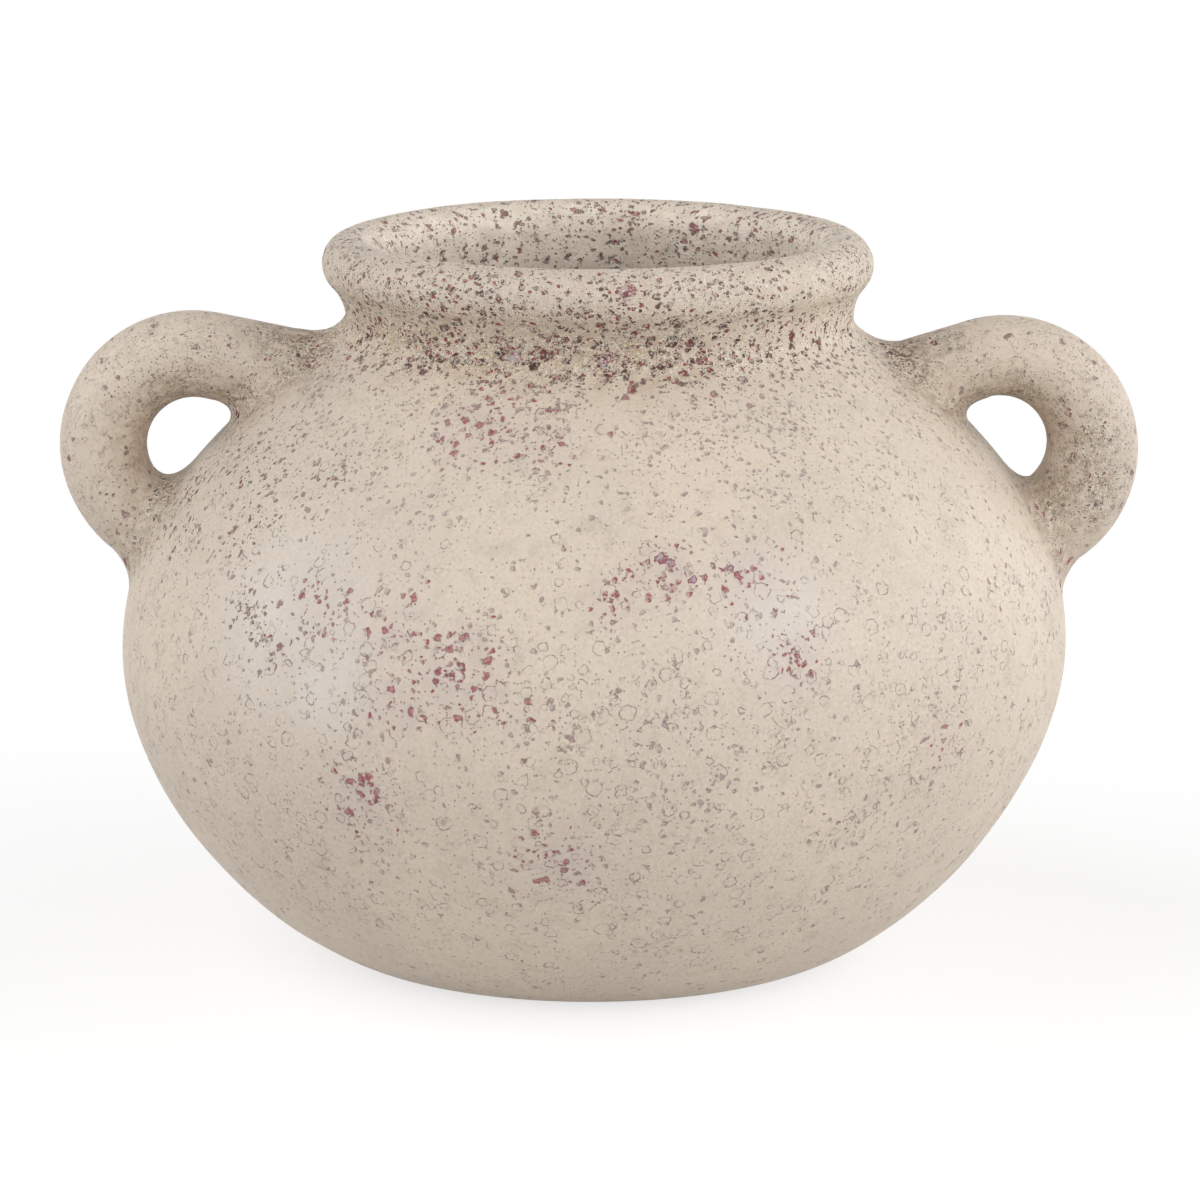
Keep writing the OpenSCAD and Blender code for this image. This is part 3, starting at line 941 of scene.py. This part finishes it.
# %% Sunk skin
height = add(relief, "ShaderNodeSeparateXYZ", {0: place})
foot_fade = add(relief, "ShaderNodeMapRange", {"Value": height.outputs["Z"], "From Min": foot_flat,
                                               "From Max": foot_full}, interpolation_type="SMOOTHSTEP")
faded = add(relief, "ShaderNodeMath", {0: total, 1: foot_fade}, operation="MULTIPLY")
push = add(relief, "ShaderNodeVectorMath", {"Vector": facing, "Scale": faded}, operation="SCALE")
moved = add(relief, "GeometryNodeSetPosition", {"Geometry": taken["Mesh"], "Offset": push})
smooth = add(relief, "GeometryNodeSetShadeSmooth", {"Geometry": moved})
real = add(relief, "GeometryNodeRealizeInstances", {0: smooth})
dressed = add(relief, "GeometryNodeSetMaterial", {"Geometry": real, "Material": taken["Clay"]})
add(relief, "NodeGroupOutput", {0: dressed})
print("nodes in the relief:", len(relief.nodes))

# %% [markdown]
# ## Coating every piece
#
# Each piece first gets its zones, as attributes on its points. Then the body is shifted by height,
# because a pot built by hand never stands quite true: its belly leans to the left and its neck to the
# right by a millimetre or so. A lattice could bend it too, but a shift read from a short table is
# easier to set. The relief tree runs last, and its result becomes the piece's own mesh.


# %% Coat every piece
def point_vectors(mesh, name):
    """A vector attribute of a mesh as one row for each point."""
    values = np.zeros(len(mesh.vertices) * 3, np.float32)
    mesh.attributes[name].data.foreach_get("vector", values)
    return values.reshape(-1, 3).astype(float)


# Depths of the hands' lumps, of a bubble's dish and of the bed below its lost skin
lump_depth, dish_depth, bed_depth = 0.45 * MM, 0.1 * MM, 0.3 * MM
crisp_edge = math.radians(50)
# Height from which marks are drawn flat and wide, by how much, and how softly that begins
drawn_from, drawn_by, drawn_soft = 146 * MM, 0.25, 2 * MM
# How far the body strays to the right of its axis, by height, in millimetres
stray_heights = [0, 35, 60, 80, 100, 125, 148, 165, 176]
stray_shifts = [-1.5, -1.6, -1.1, -0.6, -0.1, 0.4, 1.1, 0.4, 0.0]
for piece in body + ears:
    mesh = piece.data
    place = point_vectors(mesh, "position")
    zones = coat_zones(place, point_vectors(mesh, "facing"))
    if not piece.name.endswith("handle_coated"):
        strayed = place.copy()
        strayed[:, 0] += np.interp(place[:, 2] / MM, stray_heights, stray_shifts) * MM
        mesh.attributes["position"].data.foreach_set("vector", strayed.astype(np.float32).ravel())
    place[:, 2] += drawn_by * np.logaddexp(0, (place[:, 2] - drawn_from) / drawn_soft) * drawn_soft
    mesh.attributes.new("place", "FLOAT_VECTOR", "POINT").data.foreach_set(
        "vector", place.astype(np.float32).ravel())
    for name, values in zones.items():
        shares = np.clip(values, 0, 1).astype(np.float32)
        mesh.attributes.new(name, "FLOAT", "POINT").data.foreach_set("value", shares)
    grown(piece, relief, lump_depth=lump_depth, dish_depth=dish_depth, bed_depth=bed_depth,
          clay=bare if piece.name.startswith("base_slab") else coat)
    piece.data.set_sharp_from_angle(angle=crisp_edge)
print("points in the coat:", sum(len(piece.data.vertices) for piece in body + ears))

# %% [markdown]
# ## Cream slip over red clay
#
# The finish is a clay slip, brushed on and fired: nearly matt, with a faint sheen, and never one
# colour. One noise could tint it, but then the stains would not lie where hands and dust leave them.
# So it is built in the order in which it came about. First comes the ground: a clouded cream with
# brush streaks and a fine grain, painted paler inside the neck to stand in for light, with a painted
# sheen on the belly, a bruised tone in the red patches, tan grime and painted shade in the creases, and
# dark dirt at the roots and on the ears.

# %% Slip ground
# Fired slip: gives the eye a soft, chalky cream with a faint sheen, and dark red where it broke
coat.use_nodes = True
slip = coat.node_tree
slip.nodes.clear()
place = add(slip, "ShaderNodeAttribute", attribute_name="place").outputs["Vector"]
zone = {name: add(slip, "ShaderNodeAttribute", attribute_name=name).outputs["Fac"]
        for name in ("pin_zone", "pit_zone", "bubble_zone", "crater_zone", "blister_zone", "redness",
                     "deep_and_shaded", "grime_and_painted_shade", "dirt", "crackle", "inner", "torn", "bloom")}
bend, clouds = unevenness(slip, place)
# Sizes in millimetres; the real grain is finer than a pixel, so "fine" is drawn coarser to show
noise = {name: add(slip, "ShaderNodeTexNoise", {"Vector": place, "Scale": 1 / (size * MM),
                                                "Detail": detail, "Roughness": 0.6})
         for name, size, detail in (("cream", 45, 2.0), ("brushed", 5, 3.0), ("torn", 2.2, 3.0),
                                    ("fine", 0.8, 2.0))}
print("zones and noises of the slip:", len(zone), len(noise))

# %% Clouds and grain
# Each row lays a colour over those before it: noise, where it starts, where it is full, how strong
colour = "#DBCCBA"
for name, start, full, strength, tint in (("cream", 0.35, 0.65, 0.8, "#D2C4B4"),
                                          ("brushed", 0.48, 0.75, 0.6, "#C6B7A4"),
                                          ("fine", 0.46, 0.3, 0.4, "#E6DACB"),
                                          ("fine", 0.52, 0.66, 0.22, "#A99A8D")):
    amount = add(slip, "ShaderNodeMapRange", {"Value": noise[name], "From Min": start, "From Max": full,
                                              "To Max": strength}, interpolation_type="SMOOTHSTEP")
    colour = add(slip, "ShaderNodeMix", {0: amount, 1: colour, 2: tint}, data_type="RGBA")
# Painted light: the inside of the neck is painted paler than the slip, standing in for light
colour = add(slip, "ShaderNodeMix", {0: zone["inner"], 1: colour, 2: "#F9EEDE"}, data_type="RGBA")
print("nodes up to the grain:", len(slip.nodes))

# %% Painted sheen, grime with painted shade, and dirt
streaks = add(slip, "ShaderNodeMapRange", {"Value": noise["brushed"], "From Min": 0.3, "From Max": 0.7,
                                           "To Min": 0.18, "To Max": 0.8})
smudges = add(slip, "ShaderNodeMapRange", {"Value": noise["torn"], "From Min": 0.4, "From Max": 0.56})
# Painted sheen, bruised tone, tan grime with painted shade, and dark dirt: zone, what breaks it up,
# colour
for name, broken_by, tint in (("bloom", streaks, "#DDD7D4"), ("redness", streaks, "#CBBBB2"),
                              ("grime_and_painted_shade", streaks, "#A78F68"), ("dirt", smudges, "#6E563C")):
    amount = add(slip, "ShaderNodeMath", {0: zone[name], 1: broken_by}, operation="MULTIPLY")
    colour = add(slip, "ShaderNodeMix", {0: amount, 1: colour, 2: tint}, data_type="RGBA")
print("nodes up to the dirt:", len(slip.nodes))

# %% [markdown]
# ## Hair cracks
#
# On the ears the coat shrank over a tight curve and cracked in fine nets, which dirt has filled. They
# could be curves laid on the clay, but they are far thinner than the mesh. A Voronoi texture measured
# from its edges gives a net, noise bends it, and a second noise lets it show only in places.

# %% Hair cracks of the ears
crack_bend = 2 * MM
crack_net = 2 * MM
wavy = add(slip, "ShaderNodeVectorMath", {0: bend, 1: (crack_bend,) * 3, 2: place},
           operation="MULTIPLY_ADD")
net = add(slip, "ShaderNodeTexVoronoi", {"Vector": wavy, "Scale": 1 / crack_net},
          feature="DISTANCE_TO_EDGE")
hair = add(slip, "ShaderNodeMapRange", {"Value": net, "From Min": 0.02, "From Max": 0.1, "To Min": 0.8,
                                        "To Max": 0.0})
in_places = add(slip, "ShaderNodeMapRange", {"Value": noise["torn"], "From Min": 0.46, "From Max": 0.62})
cracked = add(slip, "ShaderNodeMath", {0: zone["crackle"], 1: in_places}, operation="MULTIPLY")
crack = add(slip, "ShaderNodeMath", {0: hair, 1: cracked}, operation="MULTIPLY")
colour = add(slip, "ShaderNodeMix", {0: crack, 1: colour, 2: "#655341"}, data_type="RGBA")
print("nodes up to the hair cracks:", len(slip.nodes))

# %% [markdown]
# ## Tears and burst bubbles
#
# Where the coat is torn off, maroon clay shows, with a greyer middle. A burst bubble leaves a thin dark
# outline, drawn darker on one side as painted shade of its rim, and inside it a bed of bare clay: red in
# the patches, lilac on the open belly, and under the rim nearly black, dark clay with painted shade of
# the deeper holes. Cut-out decals could carry them, but they would not sit in the sunk beds. So the
# recipe for the marks runs again here, and its colours fall into the relief.

# %% Torn spots
torn_off = add(slip, "ShaderNodeMath", {0: zone["torn"], 1: 0.36, 2: noise["torn"]},
               operation="MULTIPLY_ADD")
torn_mark = add(slip, "ShaderNodeMapRange", {"Value": torn_off, "From Min": 0.76, "From Max": 0.79},
                interpolation_type="SMOOTHSTEP")
torn_middle = add(slip, "ShaderNodeMapRange", {"Value": torn_off, "From Min": 0.82, "From Max": 0.87})
torn_floor = add(slip, "ShaderNodeMix", {0: torn_middle, 1: "#914D52", 2: "#AA9DA3"}, data_type="RGBA")
colour = add(slip, "ShaderNodeMix", {0: torn_mark, 1: colour, 2: torn_floor}, data_type="RGBA")
hollows = add(slip, "ShaderNodeMath", {0: torn_mark, 1: -0.2}, operation="MULTIPLY")
print("nodes up to the torn spots:", len(slip.nodes))

# %% Burst bubbles
patchy = add(slip, "ShaderNodeMapRange", {"Value": noise["fine"], "From Min": 0.38, "From Max": 0.6})
red_bed = add(slip, "ShaderNodeMix", {0: patchy, 1: "#9A4C52", 2: "#B98985"}, data_type="RGBA")
broken = add(slip, "ShaderNodeMapRange", {"Value": noise["fine"], "From Min": 0.33, "From Max": 0.5})
outline_colour = add(slip, "ShaderNodeMix", {0: zone["redness"], 1: "#7F6E69", 2: "#876268"},
                     data_type="RGBA")
# In the creases the outlines darken further, painted shade of the deeper holes
outline_colour = add(slip, "ShaderNodeMix", {0: zone["deep_and_shaded"], 1: outline_colour, 2: "#4C382B"},
                     data_type="RGBA")
# Family, zone, how wide the outline is in millimetres and how strong
for family, zone_name, line, strength in (("blisters", "blister_zone", 0.1, 0.78),
                                          ("bubbles", "bubble_zone", 0.11, 0.6),
                                          ("craters", "crater_zone", 0.12, 0.7)):
    inside, there, luck, lean = marks(slip, place, bend, clouds[1], zone[zone_name], family)
    if family != "blisters":
        bed_side = filled_side(slip, family, lean, luck, zone["redness"], zone["deep_and_shaded"])
        within = add(slip, "ShaderNodeMapRange", {"Value": inside, "From Min": -0.05, "From Max": 0.1},
                     interpolation_type="SMOOTHSTEP")
        mark = add(slip, "ShaderNodeMath", {0: within, 1: there}, operation="MULTIPLY")
        bed = add(slip, "ShaderNodeMath", {0: mark, 1: bed_side}, operation="MULTIPLY")
        unstained = add(slip, "ShaderNodeMath", {0: luck, 1: zone["redness"]}, operation="SUBTRACT")
        lilac = add(slip, "ShaderNodeMapRange", {"Value": unstained, "From Min": -0.25, "From Max": 0.05,
                                                 "To Max": 0.85})
        bed_colour = add(slip, "ShaderNodeMix", {0: lilac, 1: red_bed, 2: "#B3A4A2"}, data_type="RGBA")
        # Dark beds under the rim: bare clay with painted shade of the deeper holes
        dark_bed = add(slip, "ShaderNodeMix", {0: luck, 1: "#7F3E3A", 2: "#38231B"}, data_type="RGBA")
        bed_colour = add(slip, "ShaderNodeMix", {0: zone["deep_and_shaded"], 1: bed_colour, 2: dark_bed},
                         data_type="RGBA")
        colour = add(slip, "ShaderNodeMix", {0: bed, 1: colour, 2: bed_colour}, data_type="RGBA")
        hollows = add(slip, "ShaderNodeMath", {0: bed, 1: -0.2, 2: hollows}, operation="MULTIPLY_ADD")
    gap = add(slip, "ShaderNodeMath", {0: inside}, operation="ABSOLUTE")
    ring = add(slip, "ShaderNodeMapRange", {"Value": gap, "From Min": 0.4 * line, "From Max": 1.6 * line,
                                            "To Min": strength, "To Max": 0.0},
               interpolation_type="SMOOTHSTEP")
    # Painted shade: one side of each outline is drawn darker, as if its rim shaded it
    painted_shade_side = add(slip, "ShaderNodeMapRange", {"Value": lean, "From Min": -0.3 * MM,
                                                  "From Max": 0.3 * MM, "To Min": 0.45})
    shade_weighted_ring = add(slip, "ShaderNodeMath", {0: ring, 1: painted_shade_side}, operation="MULTIPLY")
    ring_there = add(slip, "ShaderNodeMath", {0: shade_weighted_ring, 1: there}, operation="MULTIPLY")
    outline_share = add(slip, "ShaderNodeMath", {0: ring_there, 1: broken}, operation="MULTIPLY")
    colour = add(slip, "ShaderNodeMix", {0: outline_share, 1: colour, 2: outline_colour},
                 data_type="RGBA")
    hollows = add(slip, "ShaderNodeMath", {0: outline_share, 1: -0.14, 2: hollows},
                  operation="MULTIPLY_ADD")
print("nodes up to the burst bubbles:", len(slip.nodes))

# %% [markdown]
# ## Pits and pinholes
#
# The finest marks are holes of less than a millimetre and a half. They could be cut into the mesh, but
# it would need many times the points, so they are colour and bump alone. In the creases, where the coat
# is thick, their floors are darker, a painted shade of deeper holes, and the slip stands up round them
# in a pale lip.

# %% Floors and lips of the holes
# Floors on the open belly, grey and red, then in the creases, made darker as painted shade of deeper
# holes
floors = {"pits": ("#A6938E", "#9C4E53", "#46311F", "#85403B"),
          "pinholes": ("#A99893", "#A97876", "#4E3A28", "#663C32")}
for family, cloud, zone_name in (("pits", 0, "pit_zone"), ("pinholes", 2, "pin_zone")):
    inside, there, luck, lean = marks(slip, place, bend, clouds[cloud], zone[zone_name], family)
    within = add(slip, "ShaderNodeMapRange", {"Value": inside, "From Min": -0.04, "From Max": 0.08},
                 interpolation_type="SMOOTHSTEP")
    hole = add(slip, "ShaderNodeMath", {0: within, 1: there}, operation="MULTIPLY")
    near = add(slip, "ShaderNodeMapRange", {"Value": inside, "From Min": -0.35, "From Max": -0.02,
                                            "To Max": 0.9}, interpolation_type="SMOOTHSTEP")
    near_there = add(slip, "ShaderNodeMath", {0: near, 1: there}, operation="MULTIPLY")
    lip = add(slip, "ShaderNodeMath", {0: near_there, 1: zone["deep_and_shaded"]}, operation="MULTIPLY")
    colour = add(slip, "ShaderNodeMix", {0: lip, 1: colour, 2: "#E6DACA"}, data_type="RGBA")
    redness = add(slip, "ShaderNodeMath", {0: zone["redness"], 1: 0.9}, operation="MULTIPLY")
    red_luck = add(slip, "ShaderNodeMath", {0: redness, 1: luck}, operation="SUBTRACT")
    reddened = add(slip, "ShaderNodeMapRange", {"Value": red_luck, "From Min": -0.1, "From Max": 0.1})
    grey, red, deep_grey, deep_red = floors[family]
    open_floor = add(slip, "ShaderNodeMix", {0: reddened, 1: grey, 2: red}, data_type="RGBA")
    deep_floor = add(slip, "ShaderNodeMix", {0: reddened, 1: deep_grey, 2: deep_red}, data_type="RGBA")
    far_side = add(slip, "ShaderNodeMapRange", {"Value": lean, "From Min": -0.1 * MM,
                                                "From Max": 0.1 * MM, "To Max": 0.75},
                   interpolation_type="SMOOTHSTEP")
    open_floor = add(slip, "ShaderNodeMix", {0: far_side, 1: open_floor, 2: "#C6B7AD"}, data_type="RGBA")
    floor_colour = add(slip, "ShaderNodeMix", {0: zone["deep_and_shaded"], 1: open_floor, 2: deep_floor},
                       data_type="RGBA")
    colour = add(slip, "ShaderNodeMix", {0: hole, 1: colour, 2: floor_colour}, data_type="RGBA")
    for part, depth in ((hole, -0.25), (lip, 0.12)):
        hollows = add(slip, "ShaderNodeMath", {0: part, 1: depth, 2: hollows}, operation="MULTIPLY_ADD")
print("nodes up to the pinholes:", len(slip.nodes))

# %% Slip surface
# Heights are in millimetres
for name, rise in (("fine", 0.06), ("brushed", 0.14)):
    hollows = add(slip, "ShaderNodeMath", {0: noise[name], 1: rise, 2: hollows},
                  operation="MULTIPLY_ADD")
bump = add(slip, "ShaderNodeBump", {"Strength": 1.0, "Distance": MM, "Height": hollows})
shader = add(slip, "ShaderNodeBsdfPrincipled", {"Base Color": colour, "Roughness": 0.55,
                                                "Specular IOR Level": 0.5, "Normal": bump})
add(slip, "ShaderNodeOutputMaterial", {"Surface": shader})
print("nodes in the slip:", len(slip.nodes))

# %% [markdown]
# ## Bare clay of the foot
#
# A foot is wiped clean before firing, so that the pot doesn't stick to the shelf. The photo doesn't
# show it. A plain colour would do from afar, but a noise of grit keeps it from looking like plastic.

# %% Bare clay
# Unglazed clay: gives the eye a dry, sandy tan without sheen. Its grit is drawn coarser than real, as
# true grains would be too fine to show.
grit_size = 1.5 * MM
bare.use_nodes = True
foot_clay = bare.node_tree
foot_clay.nodes.clear()
foot_place = add(foot_clay, "ShaderNodeAttribute", attribute_name="place").outputs["Vector"]
grit = add(foot_clay, "ShaderNodeTexNoise", {"Vector": foot_place, "Scale": 1 / grit_size,
                                             "Detail": 4.0})
tint = add(foot_clay, "ShaderNodeMix", {0: grit, 1: "#A8876C", 2: "#C9AE95"}, data_type="RGBA")
foot_bump = add(foot_clay, "ShaderNodeBump", {"Strength": 1.0, "Distance": 0.2 * MM, "Height": grit})
foot_shader = add(foot_clay, "ShaderNodeBsdfPrincipled", {"Base Color": tint, "Roughness": 0.95,
                                                          "Specular IOR Level": 0.25,
                                                          "Normal": foot_bump})
add(foot_clay, "ShaderNodeOutputMaterial", {"Surface": foot_shader})
print("nodes in the bare clay:", len(foot_clay.nodes))

# %% [markdown]
# ## Handing the pieces over
#
# Every coated piece stands for one imported solid and rides on the vase's only body.

# %% Stand for the solids
for piece in body + ears:
    node = piece.name.removesuffix("_coated")
    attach(piece, "root")
    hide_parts(node)
